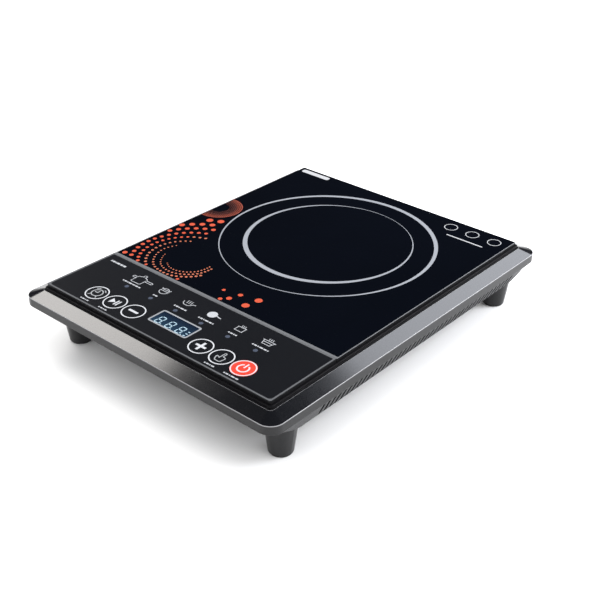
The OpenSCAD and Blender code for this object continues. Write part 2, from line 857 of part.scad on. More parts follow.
module foot_pads() {
    color([0.05, 0.05, 0.05]) for (p = leg_places) {
        rod(p, leg_foot_r - 1, 0, pad_t);
        rod(p, boss_r - 0.1, pad_t, pad_t + 4);
    }
}

module housing_screws() {
    color([0.7, 0.7, 0.72]) for (p = leg_places)
        screw(p, leg_screw_z, leg_screw_top - leg_screw_z, false);
}

module board_screws() {
    color([0.72, 0.72, 0.74]) {
        for (p = board_posts) screw(p, board_top, 6);
        for (p = control_posts) screw(p, control_top - board_t, 6, false);
    }
}

module coil_screws() {
    color([0.72, 0.72, 0.74]) for (p = ear_places) screw(p, coil_base, 10);
}

module fan_screws() {
    color([0.72, 0.72, 0.74]) for (x = [-1, 1], y = [-1, 1])
        screw([fan_x + x * fan_hole, fan_y + y * fan_hole], fan_top, fan_h + 1.2);
}

module heatsink_screws() {
    color([0.72, 0.72, 0.74]) for (x = [-1, 1])
        screw([sink_x + x * chip_x, power_row], sink_z + sink_base_t, sink_z + sink_base_t - board_top);
}

module cord_gland() {
    color([0.06, 0.06, 0.06]) translate([-gland_x, pocket_y, gland_z]) rotate([-90, 0, 0]) difference() {
        union() {
            cylinder(r = gland_flange_r, h = gland_flange_t);
            translate([0, 0, gland_flange_t - gland_l]) cylinder(r = gland_barrel_r, h = gland_l);
        }
        translate([0, 0, -gland_l]) cylinder(r = gland_bore_r, h = 2 * gland_l);
    }
}

top_housing();
bottom_housing();
glass_plate();
glass_seal();
control_overlay();
display_lens();
lamp_windows();
mode_lamps();
display_module();
control_board();
switch_bodies();
key(0, [0.12, 0.125, 0.14]);  // timer_key
key(1, [0.12, 0.125, 0.14]);  // pause_key
key(2, [0.12, 0.125, 0.14]);  // minus_key
key(3, [0.12, 0.125, 0.14]);  // plus_key
key(4, [0.12, 0.125, 0.14]);  // menu_key
key(5, [0.85, 0.25, 0.18]);  // power_key
plunger(0);  // timer_plunger
plunger(1);  // pause_plunger
plunger(2);  // minus_plunger
plunger(3);  // plus_plunger
plunger(4);  // menu_plunger
plunger(5);  // power_plunger
ribbon_cable();
ribbon_headers();
main_board();
heatsink();
power_transistor();
bridge_rectifier();
filter_capacitor();
resonant_capacitor();
choke_core();
choke_winding();
standby_transformer();
electrolytic_capacitors();
line_fuse();
buzzer();
coil_terminals();
coil_leads();
coil_former();
induction_coil();
ferrite_bars();
mica_sheet();
sensor_cap();
thermistor();
fan_frame();
fan_rotor();
fan_magnet();
fan_shaft();
fan_bearing();
fan_stator();
legs();
foot_pads();
housing_screws();
board_screws();
coil_screws();
fan_screws();
heatsink_screws();
cord_gland();
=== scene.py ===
import json
import math

import bpy
from mathutils import Matrix, Vector


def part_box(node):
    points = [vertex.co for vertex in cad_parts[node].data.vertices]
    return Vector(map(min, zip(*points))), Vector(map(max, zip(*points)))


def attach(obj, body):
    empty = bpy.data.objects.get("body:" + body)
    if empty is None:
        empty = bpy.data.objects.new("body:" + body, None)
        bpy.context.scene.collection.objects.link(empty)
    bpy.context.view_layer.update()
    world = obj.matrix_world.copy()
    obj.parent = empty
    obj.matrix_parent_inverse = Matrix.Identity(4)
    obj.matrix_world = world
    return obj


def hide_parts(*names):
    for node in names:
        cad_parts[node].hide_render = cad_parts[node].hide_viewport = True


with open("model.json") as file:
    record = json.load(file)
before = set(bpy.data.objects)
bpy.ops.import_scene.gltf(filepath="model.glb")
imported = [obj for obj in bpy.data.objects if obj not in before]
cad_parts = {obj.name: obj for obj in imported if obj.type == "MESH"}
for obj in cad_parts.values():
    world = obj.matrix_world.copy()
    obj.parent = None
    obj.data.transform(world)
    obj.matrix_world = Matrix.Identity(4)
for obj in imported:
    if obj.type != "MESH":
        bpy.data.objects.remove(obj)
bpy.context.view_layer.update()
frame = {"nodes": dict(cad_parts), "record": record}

bl_info = {
    "name": "Induction Cooktop",
    "version": (1, 0, 0),
    "blender": (4, 5, 0),
    "location": "View3D > Sidebar > Cooktop",
    "description": "Finishes, printed graphics and studio of a portable single-zone induction cooktop",
    "category": "Add Mesh",
}

MM = 0.001
BODY = "body"
WALL_HIGH = 13.3 * MM       # height of the sloping side walls
WALL_LEAN = 6.8 * MM / WALL_HIGH    # how far they lean in per unit of height
KEY_NAMES = ("timer", "pause", "minus", "plus", "menu", "power")

# Places of the CAD nodes, in metres.
RIM_LOW, RIM_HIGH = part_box("top_housing")
GLASS_LOW, GLASS_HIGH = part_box("glass_plate")
PANEL_LOW, PANEL_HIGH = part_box("control_overlay")
WINDOW_LOW, WINDOW_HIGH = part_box("display_lens")
LAMPS_LOW, LAMPS_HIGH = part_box("lamp_windows")
COIL_LOW, COIL_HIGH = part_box("coil_former")
DECK_TOP = GLASS_HIGH[2]
DECK_W = GLASS_HIGH[0]
DECK_D = GLASS_HIGH[1]
SEAT_Z = DECK_TOP - 4.8 * MM        # what the glass seal and the panel deck stand on


# ---------------------------------------------------------------- sizes and colours

def size_prop(name, text, value):
    return bpy.props.FloatProperty(name=name, description=text, default=value * MM,
                                   unit="LENGTH", precision=5)


def colour_prop(name, text, value):
    return bpy.props.FloatVectorProperty(name=name, description=text, default=value, size=3,
                                         subtype="COLOR", min=0.0, max=1.0)


class CooktopSizes(bpy.types.PropertyGroup):
    edge_fillet: size_prop("Edge fillet", "Radius on the moulded edges of the upper housing", 0.55)
    print_t: size_prop("Print thickness", "Thickness of the printed graphics", 0.03)
    ring_outer: size_prop("Outer ring", "Outer radius of the large cooking-zone ring", 97.5)
    ring_inner: size_prop("Inner ring", "Outer radius of the small cooking-zone ring", 75.9)
    border_w: size_prop("Border", "Width of the silver line round the control panel", 1.7)
    glass_edge: size_prop("Glass edge", "Width of the ground edge of the glass", 0.55)
    glass_front: size_prop("Front edge", "Width of the ground front edge of the glass", 2.1)
    key_ring: size_prop("Key ring", "Outer radius of the ring printed on a key", 10.2)
    key_stroke: size_prop("Key stroke", "Width of the ring printed on a key", 1.05)
    digit_h: size_prop("Digit height", "Height of a display digit", 9.2)


class CooktopColours(bpy.types.PropertyGroup):
    gloss: colour_prop("Gloss black", "Upper housing", (0.0045, 0.0048, 0.0060))
    grained: colour_prop("Grained black", "Lower housing", (0.034, 0.034, 0.036))
    glass: colour_prop("Glass", "Glass plate", (0.0009, 0.0014, 0.0030))
    film: colour_prop("Film", "Control overlay", (0.0030, 0.0034, 0.0048))
    silver: colour_prop("Silver print", "Border of the control panel", (0.082, 0.085, 0.091))
    white: colour_prop("White print", "Symbols", (0.42, 0.43, 0.45))
    orange: colour_prop("Orange print", "Dots", (0.43, 0.052, 0.017))
    red: colour_prop("Power key", "Disc of the power key", (0.62, 0.030, 0.014))


def sizes():
    return bpy.context.scene.cooktop_sizes


def colours():
    return bpy.context.scene.cooktop_colours


# ---------------------------------------------------------------- shader maths

class Value:
    """A number socket that can be used in ordinary expressions."""

    def __init__(self, finish, socket):
        self.finish = finish
        self.socket = socket

    def math(self, operation, *others):
        node = self.finish.node("ShaderNodeMath", {"operation": operation},
                                dict(enumerate((self, *others))))
        return Value(self.finish, node.outputs[0])

    def __add__(self, other):
        return self.math("ADD", other)

    def __mul__(self, other):
        return self.math("MULTIPLY", other)

    def __sub__(self, other):
        return self.math("SUBTRACT", other)


class Finish:
    """One material and the few node chains that this object's finishes share."""

    def __init__(self, name):
        self.material = bpy.data.materials.new(name)
        self.material.use_nodes = True
        self.tree = self.material.node_tree
        self.tree.nodes.clear()
        self.out = self.node("ShaderNodeOutputMaterial")
        self.shader = self.node("ShaderNodeBsdfPrincipled")
        self.tree.links.new(self.shader.outputs[0], self.out.inputs["Surface"])

    def node(self, kind, settings=None, inputs=None):
        made = self.tree.nodes.new(kind)
        for key, value in (settings or {}).items():
            setattr(made, key, value)
        for key, value in (inputs or {}).items():
            self.feed(made.inputs[key], value)
        return made

    def feed(self, socket, value):
        if isinstance(value, Value):
            value = value.socket
        if isinstance(value, bpy.types.NodeSocket):
            self.tree.links.new(value, socket)
        else:
            socket.default_value = value

    def set(self, **values):
        for key, value in values.items():
            self.feed(self.shader.inputs[key.replace("_", " ").title().replace("Ior", "IOR")], value)
        return self

    def where(self, scale=(1, 1, 1)):
        place = self.node("ShaderNodeTexCoord")
        return self.node("ShaderNodeMapping", inputs={
            "Vector": place.outputs["Object"], "Scale": scale}).outputs[0]

    def noise(self, scale, detail=2.0, stretch=(1, 1, 1)):
        made = self.node("ShaderNodeTexNoise", inputs={
            "Vector": self.where(stretch), "Scale": scale, "Detail": detail, "Roughness": 0.55})
        return Value(self, made.outputs[0])

    def cells(self, scale):
        made = self.node("ShaderNodeTexVoronoi", {"feature": "F1"},
                         {"Vector": self.where(), "Scale": scale})
        return Value(self, made.outputs["Distance"])

    def stripes(self, scale, kind="BANDS"):
        made = self.node("ShaderNodeTexWave", {"wave_type": kind},
                         {"Vector": self.where(), "Scale": scale, "Distortion": 0.0})
        return Value(self, made.outputs["Fac"])

    def mix(self, factor, low, high):
        made = self.node("ShaderNodeMix", {"data_type": "RGBA"})
        for socket, value in ((made.inputs[0], factor), (made.inputs[6], low), (made.inputs[7], high)):
            self.feed(socket, value if not isinstance(value, tuple) else (*value[:3], 1.0))
        return made.outputs[2]

    def bump(self, height, depth):
        """depth is in millimetres."""
        made = self.node("ShaderNodeBump", inputs={
            "Height": height, "Distance": depth * MM, "Strength": 1.0})
        return self.set(normal=made.outputs[0])


def shade(colour, factor):
    return tuple(min(1.0, c * factor) for c in colour)


def moulded(name, colour, roughness, grain=900.0, depth=0.02, spread=0.25):
    """Moulded plastic: faint cloudiness in its colour and a fine grain."""
    made = Finish(name)
    cloud = made.noise(60.0, 3.0)
    fine = made.noise(grain, 3.0)
    made.set(base_color=made.mix(cloud, shade(colour, 1 - spread), shade(colour, 1 + spread)),
             roughness=fine * 0.12 + (roughness - 0.06))
    made.bump(fine, depth)
    return made.material


def gloss_black():
    made = Finish("gloss_black")
    cloud = made.noise(35.0, 2.0)
    ripple = made.noise(90.0, 1.0)
    base = tuple(colours().gloss)
    made.set(base_color=made.mix(cloud, shade(base, 0.8), shade(base, 1.2)),
             roughness=cloud * 0.05 + 0.10)
    made.bump(ripple, 0.004)
    return made.material


def satin_black():
    made = Finish("satin_black")
    fine = made.noise(1400.0, 3.0)
    base = (0.014, 0.014, 0.015)
    made.set(base_color=made.mix(made.noise(60.0, 3.0), shade(base, 0.75), shade(base, 1.25)),
             roughness=fine * 0.10 + 0.24, specular_ior_level=0.25)
    made.bump(fine, 0.006)
    return made.material


def recess_black():
    """Dull black for the narrow step round the deck and the sides of the glass."""
    made = Finish("recess_black")
    fine = made.noise(900.0, 3.0)
    made.set(base_color=made.mix(fine, (0.003, 0.003, 0.0035), (0.006, 0.006, 0.007)),
             roughness=fine * 0.1 + 0.3, specular_ior_level=0.12)
    return made.material


def painted_edge_highlight():
    """Painted highlight: a light grey on the edge fillets that stands in for the light the edges catch."""
    return moulded("painted_edge_highlight", (0.24, 0.24, 0.25), 0.25, 1400.0, 0.003)


def vent_shade_mask(made):
    """1 behind the outer face of the sloping side walls, along the rows of vents, and 0 elsewhere: where the
    vent slots get painted shade.
    """
    _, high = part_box("bottom_housing")
    place = made.node("ShaderNodeTexCoord")
    parts = made.node("ShaderNodeSeparateXYZ", inputs={0: place.outputs["Object"]})
    across, along, up = (Value(made, parts.outputs[axis]) for axis in "XYZ")
    skin, corner = 0.4 * MM, 30 * MM
    face = (up - RIM_LOW[2]) * WALL_LEAN + (high[0] - skin)
    behind = (face - across.math("ABSOLUTE")).math("GREATER_THAN", 0.0)
    beside = along.math("ABSOLUTE").math("LESS_THAN", high[1] - corner)
    above = up.math("GREATER_THAN", RIM_LOW[2] - WALL_HIGH)
    return behind * beside * above


def spark_grain_and_vent_shade():
    """The sparked texture of the lower housing, with painted shade inside its vent slots."""
    made = Finish("spark_grain_and_vent_shade")
    base = tuple(colours().grained)
    pits = made.cells(1500.0)
    cloud = made.noise(120.0, 4.0)
    skin = made.mix(pits * 0.7 + cloud * 0.3, shade(base, 0.55), shade(base, 1.6))
    painted_vent_shade = vent_shade_mask(made)
    # Painted shade: inside the vent slots the colour is near black and the surface metallic, so the slot
    # walls stay dark as if in shadow.
    made.set(base_color=made.mix(painted_vent_shade, skin, (0.001, 0.001, 0.001)), metallic=painted_vent_shade,
             roughness=pits * 0.2 + 0.46, specular_ior_level=0.35)
    made.bump(pits, 0.09)
    return made.material


def black_glass():
    made = Finish("black_glass")
    base = tuple(colours().glass)
    cloud = made.noise(12.0, 2.0)
    wipe = made.noise(45.0, 3.0, (1.0, 0.3, 1.0))
    made.set(base_color=made.mix(cloud, shade(base, 0.75), shade(base, 1.25)),
             roughness=wipe * 0.03 + 0.035)
    return made.material


def ground_edge_highlight():
    made = Finish("ground_edge_highlight")
    fine = made.noise(2500.0, 2.0)
    # Light grey of the ground edges: partly their own frosted grey, partly a painted highlight for the light
    # the bevels catch.
    made.set(base_color=made.mix(fine, (0.075, 0.078, 0.083), (0.15, 0.155, 0.165)),
             roughness=fine * 0.1 + 0.2)
    made.bump(fine, 0.004)
    return made.material


def overlay_film():
    made = Finish("overlay_film")
    base = tuple(colours().film)
    fine = made.noise(1800.0, 2.0)
    cloud = made.noise(20.0, 2.0)
    made.set(base_color=made.mix(cloud, shade(base, 0.85), shade(base, 1.15)), roughness=fine * 0.08 + 0.3,
             specular_ior_level=0.35)
    made.bump(fine, 0.003)
    return made.material


def ink(name, colour, roughness=0.4, uneven=0.12):
    """Screen-printed ink."""
    made = Finish(name)
    speck = made.noise(1200.0, 3.0)
    made.set(base_color=made.mix(speck, shade(colour, 1 - uneven), shade(colour, 1 + uneven)),
             roughness=speck * 0.1 + roughness)
    made.bump(speck, 0.004)
    return made.material


def metal(name, colour, roughness=0.3, brush=(1, 1, 1), grain=400.0):
    made = Finish(name)
    lines = made.noise(grain, 3.0, brush)
    made.set(base_color=made.mix(lines, shade(colour, 0.85), shade(colour, 1.1)), metallic=1.0,
             roughness=lines * 0.15 + (roughness - 0.07))
    made.bump(lines, 0.004)
    return made.material


def display_window():
    """Tinted window: deep blue, a little lighter towards the front edge."""
    made = Finish("display_window")
    place = made.node("ShaderNodeTexCoord")
    parts = made.node("ShaderNodeSeparateXYZ", inputs={0: place.outputs["Object"]})
    depth = WINDOW_HIGH[1] - WINDOW_LOW[1]
    rise = (Value(made, parts.outputs["Y"]) - WINDOW_LOW[1]) * (1.0 / depth)
    grid = made.stripes(400.0)
    made.set(base_color=made.mix(rise + grid * 0.08, (0.012, 0.030, 0.055), (0.004, 0.007, 0.016)),
             roughness=0.12)
    return made.material


def winding(name, colour, scale):
    made = Finish(name)
    strands = made.stripes(scale, "RINGS")
    made.set(base_color=made.mix(strands, shade(colour, 0.7), shade(colour, 1.15)), metallic=0.7,
             roughness=strands * 0.15 + 0.3)
    made.bump(strands, 0.1)
    return made.material


def circuit_board(name, colour, trace):
    made = Finish(name)
    blocks = made.node("ShaderNodeTexBrick", {"offset": 0.37, "squash": 1.6}, {
        "Vector": made.where(), "Scale": 110.0, "Mortar Size": 0.06,
        "Color1": (*colour, 1.0), "Color2": (*shade(colour, 0.85), 1.0), "Mortar": (*trace, 1.0)})
    made.set(base_color=blocks.outputs["Color"], roughness=0.42)
    return made.material


FINISHES = {
    "silicone": lambda: moulded("silicone", (0.16, 0.16, 0.16), 0.6, 500.0, 0.01),
    "lamp_spot": lambda: moulded("lamp_spot", (0.045, 0.055, 0.080), 0.3, 700.0, 0.004),
    "lamp_red": lambda: moulded("lamp_red", (0.55, 0.06, 0.03), 0.15, 300.0, 0.003),
    "component_white": lambda: moulded("component_white", (0.62, 0.62, 0.57), 0.5),
    "component_black": lambda: moulded("component_black", (0.022, 0.022, 0.023), 0.45),
    "green_board": lambda: circuit_board("green_board", (0.012, 0.10, 0.035), (0.02, 0.16, 0.06)),
    "tan_board": lambda: circuit_board("tan_board", (0.33, 0.19, 0.06), (0.45, 0.28, 0.10)),
    "ribbon_grey": lambda: moulded("ribbon_grey", (0.32, 0.32, 0.34), 0.5, 200.0),
    "aluminium": lambda: metal("aluminium", (0.72, 0.73, 0.75), 0.35, (0.1, 1.0, 1.0)),
    "capacitor_yellow": lambda: moulded("capacitor_yellow", (0.55, 0.36, 0.03), 0.35),
    "capacitor_blue": lambda: moulded("capacitor_blue", (0.015, 0.03, 0.16), 0.25),
    "ferrite": lambda: moulded("ferrite", (0.055, 0.055, 0.06), 0.55, 700.0, 0.04),
    "copper": lambda: winding("copper", (0.65, 0.24, 0.09), 900.0),
    "brass": lambda: metal("brass", (0.72, 0.50, 0.20), 0.28),
    "lead_red": lambda: moulded("lead_red", (0.42, 0.02, 0.012), 0.45, 500.0),
    "mica": lambda: moulded("mica", (0.42, 0.36, 0.22), 0.45, 150.0, 0.02, 0.4),
    "steel": lambda: metal("steel", (0.56, 0.57, 0.58), 0.25, (1.0, 1.0, 0.2)),
    "bronze": lambda: metal("bronze", (0.45, 0.26, 0.10), 0.4, (1, 1, 1), 900.0),
    "foot_rubber": lambda: moulded("foot_rubber", (0.018, 0.018, 0.018), 0.75, 800.0, 0.03),
    "fuse_glass": lambda: moulded("fuse_glass", (0.55, 0.60, 0.62), 0.08, 100.0, 0.002),
    "satin_black": satin_black,
    "grained_black": spark_grain_and_vent_shade,
    "overlay_film": overlay_film,
    "display_blue": display_window,
    "gloss_black": gloss_black,
    "recess_black": recess_black,
    "black_glass": black_glass,
    "key_red": lambda: ink("key_red", tuple(colours().red), 0.3),
}
made_finishes = {}


def finish(slot):
    """The material of one slot of the record, made once."""
    if slot not in made_finishes:
        made_finishes[slot] = FINISHES[slot]()
    return made_finishes[slot]


# ---------------------------------------------------------------- flat outlines and solids

def arc(centre, radius, start, stop, steps):
    return [(centre[0] + radius * math.cos(math.radians(start + (stop - start) * i / steps)),
             centre[1] + radius * math.sin(math.radians(start + (stop - start) * i / steps)))
            for i in range(steps + 1)]


def circle(centre, radius, steps=48):
    return arc(centre, radius, 0, 360, steps)[:-1]


def rounded(low, high, radius, steps=6):
    """Corners of a rounded rectangle, anticlockwise from the right side."""
    radii = radius if isinstance(radius, tuple) else (radius,) * 4
    corners = ((high[0], high[1], -1, -1, 0), (low[0], high[1], 1, -1, 90),
               (low[0], low[1], 1, 1, 180), (high[0], low[1], -1, 1, 270))
    points = []
    for (x, y, sx, sy, turn), r in zip(corners, radii):
        points += arc((x + sx * r, y + sy * r), r, turn, turn + 90, steps)
    return points


class Shape:
    """Vertices and faces of one piece, gathered and then made an object that rides on a body."""

    def __init__(self, z=DECK_TOP, thick=None):
        self.verts = []
        self.faces = []
        self.marks = []
        self.z = z
        self.thick = thick if thick is not None else sizes().print_t

    def add(self, verts, faces):
        base = len(self.verts)
        self.verts += verts
        self.faces += [tuple(base + i for i in face) for face in faces]
        self.marks += [0] * len(faces)

    def layers(self, outline):
        return [(x, y, self.z) for x, y in outline] + [(x, y, self.z + self.thick) for x, y in outline]

    def patch(self, outline):
        """A filled outline, anticlockwise."""
        n = len(outline)
        sides = [(i, (i + 1) % n, n + (i + 1) % n, n + i) for i in range(n)]
        self.add(self.layers(outline), sides + [tuple(range(n, 2 * n)), tuple(reversed(range(n)))])

    def band(self, outer, inner):
        """The space between two closed outlines that have the same number of points."""
        n = len(outer)
        verts = self.layers(outer) + self.layers(inner)
        faces = []
        for i in range(n):
            j = (i + 1) % n
            faces += [(i, j, n + j, n + i), (2 * n + j, 2 * n + i, 3 * n + i, 3 * n + j),
                      (n + i, n + j, 3 * n + j, 3 * n + i), (j, i, 2 * n + i, 2 * n + j)]
        self.add(verts, faces)

    def ring(self, centre, outer, stroke, steps=48):
        self.band(circle(centre, outer, steps), circle(centre, outer - stroke, steps))

    def stroke(self, points, width, closed=False):
        """A line of even width with mitred corners."""
        n = len(points)
        left, right = [], []
        for i, point in enumerate(points):
            before = points[i - 1] if i or closed else point
            after = points[(i + 1) % n] if i < n - 1 or closed else point
            way = Vector((0, 0))
            for a, b in ((before, point), (point, after)):
                step = Vector((b[0] - a[0], b[1] - a[1]))
                if step.length > 1e-9:
                    way += step.normalized()
            way = way.normalized() if way.length > 1e-6 else Vector((1, 0))
            bend = 1.0
            if before != point:
                bend = abs(way.dot(Vector((point[0] - before[0], point[1] - before[1])).normalized()))
            half = width / 2 / max(0.4, bend)
            side = Vector((-way.y, way.x)) * half
            left.append((point[0] + side.x, point[1] + side.y))
            right.append((point[0] - side.x, point[1] - side.y))
        if closed:
            self.band(right, left)
        else:
            self.patch(right + left[::-1])

    def piece(self, name, materials, body=BODY, smooth_angle=None):
        mesh = bpy.data.meshes.new(name)
        mesh.from_pydata(self.verts, [], self.faces)
        for material in materials:
            mesh.materials.append(material)
        mesh.polygons.foreach_set("material_index", self.marks)
        if smooth_angle is not None:
            mesh.polygons.foreach_set("use_smooth", [True] * len(mesh.polygons))
            mesh.set_sharp_from_angle(angle=math.radians(smooth_angle))
        mesh.update()
        made = bpy.data.objects.new(name, mesh)
        bpy.context.collection.objects.link(made)
        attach(made, body)
        return made


def round_profile(points, steps=4):
    """An outline's corners turned into small arcs.

    Each point is (across, up, fillet radius, mark of what follows, mark of the fillet if it differs).
    """
    result = []
    n = len(points)
    for i, (x, z, radius, mark, *own) in enumerate(points):
        here = Vector((x, z))
        back = Vector(points[i - 1][:2]) - here
        ahead = Vector(points[(i + 1) % n][:2]) - here
        if radius <= 0:
            result.append((x, z, mark))
            continue
        back.normalize()
        ahead.normalize()
        half = back.angle(ahead) / 2
        reach = radius / math.tan(half)
        centre = here + (back + ahead).normalized() * (radius / math.sin(half))
        start = here + back * reach - centre
        stop = here + ahead * reach - centre
        turn = start.angle_signed(stop)
        for k in range(steps + 1):
            spoke = Matrix.Rotation(-turn * k / steps, 2) @ start
            result.append((centre.x + spoke.x, centre.y + spoke.y, own[0] if own and k < steps else mark))
    return result


def loft(shape, rings, marks, closed=False):
    """Skin through rings of the same number of points. marks says each band's material."""
    n, count = len(rings[0]), len(rings)
    base = len(shape.verts)
    shape.verts += [point for ring in rings for point in ring]
    for k in range(count if closed else count - 1):
        a, b = k * n, ((k + 1) % count) * n
        for i in range(n):
            j = (i + 1) % n
            shape.faces.append((base + a + i, base + a + j, base + b + j, base + b + i))
            shape.marks.append(marks[k])
    if not closed:
        shape.faces.append(tuple(base + i for i in reversed(range(n))))
        shape.faces.append(tuple(base + (count - 1) * n + i for i in range(n)))
        shape.marks += [marks[0], marks[-1]]


def even_normals(made):
    """Keeps flat faces flat next to small fillets."""
    mod = made.modifiers.new("even normals", "WEIGHTED_NORMAL")
    mod.keep_sharp = True


# ---------------------------------------------------------------- dots by geometry nodes

def dot_tree():
    """Puts a thin round dot on each point, as large as the point's radius says."""
    tree = bpy.data.node_groups.new("printed_dots", "GeometryNodeTree")
    face = tree.interface
    face.new_socket(name="Geometry", in_out="INPUT", socket_type="NodeSocketGeometry")
    sockets = {}
    for name, kind, default in (("Thickness", "NodeSocketFloat", 0.03 * MM), ("Sides", "NodeSocketInt", 20),
                                ("Ink", "NodeSocketMaterial", None)):
        made = face.new_socket(name=name, in_out="INPUT", socket_type=kind)
        if default is not None:
            made.default_value = default
        sockets[name] = made.identifier
    face.new_socket(name="Geometry", in_out="OUTPUT", socket_type="NodeSocketGeometry")
    new = tree.nodes.new
    link = tree.links.new
    given, out = new("NodeGroupInput"), new("NodeGroupOutput")
    disc = new("GeometryNodeMeshCylinder")
    disc.inputs["Radius"].default_value = 1.0
    disc.inputs["Depth"].default_value = 1.0
    size = new("GeometryNodeInputNamedAttribute")
    size.data_type = "FLOAT"
    size.inputs["Name"].default_value = "radius"
    scale = new("ShaderNodeCombineXYZ")
    place = new("GeometryNodeInstanceOnPoints")
    real = new("GeometryNodeRealizeInstances")
    paint = new("GeometryNodeSetMaterial")
    link(given.outputs["Sides"], disc.inputs["Vertices"])
    link(size.outputs["Attribute"], scale.inputs["X"])
    link(size.outputs["Attribute"], scale.inputs["Y"])
    link(given.outputs["Thickness"], scale.inputs["Z"])
    link(given.outputs["Geometry"], place.inputs["Points"])
    link(disc.outputs["Mesh"], place.inputs["Instance"])
    link(scale.outputs[0], place.inputs["Scale"])
    link(place.outputs[0], real.inputs[0])
    link(real.outputs[0], paint.inputs["Geometry"])
    link(given.outputs["Ink"], paint.inputs["Material"])
    link(paint.outputs[0], out.inputs[0])
    return tree, sockets


def dots(name, places, material, tree_and_sockets, sides):
    """places is a list of (x, y, radius). The result is a plain mesh."""
    tree, sockets = tree_and_sockets
    thick = sizes().print_t
    cloud = bpy.data.meshes.new(name + "_places")
    cloud.from_pydata([(x, y, DECK_TOP + thick / 2) for x, y, _ in places], [], [])
    radius = cloud.attributes.new("radius", "FLOAT", "POINT")
    radius.data.foreach_set("value", [r for _, _, r in places])
    holder = bpy.data.objects.new(name + "_places", cloud)
    bpy.context.collection.objects.link(holder)
    mod = holder.modifiers.new("dots", "NODES")
    mod.node_group = tree
    mod[sockets["Thickness"]] = thick
    mod[sockets["Sides"]] = sides
    mod[sockets["Ink"]] = material
    view = bpy.context.evaluated_depsgraph_get()
    mesh = bpy.data.meshes.new_from_object(holder.evaluated_get(view), depsgraph=view)
    mesh.name = name
    bpy.data.objects.remove(holder)
    made = bpy.data.objects.new(name, mesh)
    bpy.context.collection.objects.link(made)
    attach(made, BODY)
    return made


# ---------------------------------------------------------------- pieces

def rim_rings(profile):
    """Rings round the deck, rounder further out. A profile point is (past the deck, height, mark)."""
    rings = []
    for out, z, _ in profile:
        corner = 1.5 * MM + max(0, out) * 0.7
        outline = rounded((-DECK_W - out, -DECK_D - out), (DECK_W + out, DECK_D + out), corner, 12)
        rings.append([(x, y, z) for x, y in outline])
    return rings


def upper_housing():
    """The seat under the glass, the step round it, the sloping bezel, the rim band and the inner side."""
    overhang = RIM_HIGH[0] - DECK_W
    edge = sizes().edge_fillet
    top, split = DECK_TOP, RIM_LOW[2]
    lip = top - 3.1 * MM
    bezel_top, bezel_low = top - 5.3 * MM, top - 9.4 * MM
    gap, step_w, bezel_in = 0.15 * MM, 1.8 * MM, 3.2 * MM
    wall, seat_w = 2.5 * MM, 8.0 * MM
    gloss, satin, painted_highlight, recess = range(4)
    profile = round_profile([
        (-seat_w, SEAT_Z, 0, recess),
        (gap, SEAT_Z, 0, recess),
        (gap, lip, 0.15 * MM, recess),
        (step_w, lip, 0.25 * MM, recess),
        (step_w, bezel_top, 0.2 * MM, recess),
        # The bezel's two convex fillets take the painted highlight, a light grey that stands in for the light
        # the edges catch.
        (bezel_in, bezel_top, 0.5 * MM, gloss, painted_highlight),
        (overhang, bezel_low, edge, satin, painted_highlight),
        (overhang, split, 0.3 * MM, satin),
        (overhang - wall, split, 0, satin),
        (overhang - wall, bezel_low - wall, 0, gloss),
        (0.0, bezel_top - wall, 0, gloss),
        (-seat_w, bezel_top - wall, 0, gloss)])
    marks = [mark for _, _, mark in profile]
    shape = Shape()
    loft(shape, rim_rings(profile)[::-1], marks[-2::-1] + marks[-1:], closed=True)
    paints = [finish("gloss_black"), finish("satin_black"), painted_edge_highlight(), finish("recess_black")]
    made = shape.piece("upper_housing", paints, smooth_angle=32)
    even_normals(made)
    return made


def panel_deck():
    """The moulded platform under the overlay, with its key pockets, lamp holes and display opening."""
    corners = (0.2 * MM, 0.2 * MM, 1.5 * MM, 1.5 * MM)
    key_gap, plunger_hole, lamp_hole, ledge = 0.25 * MM, 2.85 * MM, 1.8 * MM, 1 * MM
    pocket_floor = DECK_TOP - 2.2 * MM
    shape = Shape(SEAT_Z, PANEL_LOW[2] - SEAT_Z)
    shape.patch(rounded((-DECK_W, -DECK_D), (DECK_W, PANEL_HIGH[1]), corners, 6))
    block = shape.piece("panel_deck", [finish("recess_black")])
    cutter = Shape(SEAT_Z - 2 * MM, 10 * MM)
    pocket = Shape(pocket_floor, 6 * MM)
    for name in KEY_NAMES:
        lo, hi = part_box(name + "_key")
        centre = ((lo[0] + hi[0]) / 2, (lo[1] + hi[1]) / 2)
        pocket.patch(circle(centre, (hi[0] - lo[0]) / 2 + key_gap, 64))
        cutter.patch(circle(centre, plunger_hole, 32))
    for x in lamp_places():
        cutter.patch(circle((x, (LAMPS_LOW[1] + LAMPS_HIGH[1]) / 2), lamp_hole, 24))
    cutter.patch(rounded((WINDOW_LOW[0] + ledge, WINDOW_LOW[1] + ledge),
                         (WINDOW_HIGH[0] - ledge, WINDOW_HIGH[1] - ledge), 0.5 * MM, 3))
    for tool in (cutter, pocket):
        helper = tool.piece("cutter", [])
        mod = block.modifiers.new("cut", "BOOLEAN")
        mod.object = helper
        mod.operation = "DIFFERENCE"
        mod.solver = "EXACT"
        view = bpy.context.evaluated_depsgraph_get()
        cut = bpy.data.meshes.new_from_object(block.evaluated_get(view), depsgraph=view)
        block.modifiers.clear()
        block.data = cut
        bpy.data.objects.remove(helper)
    return block


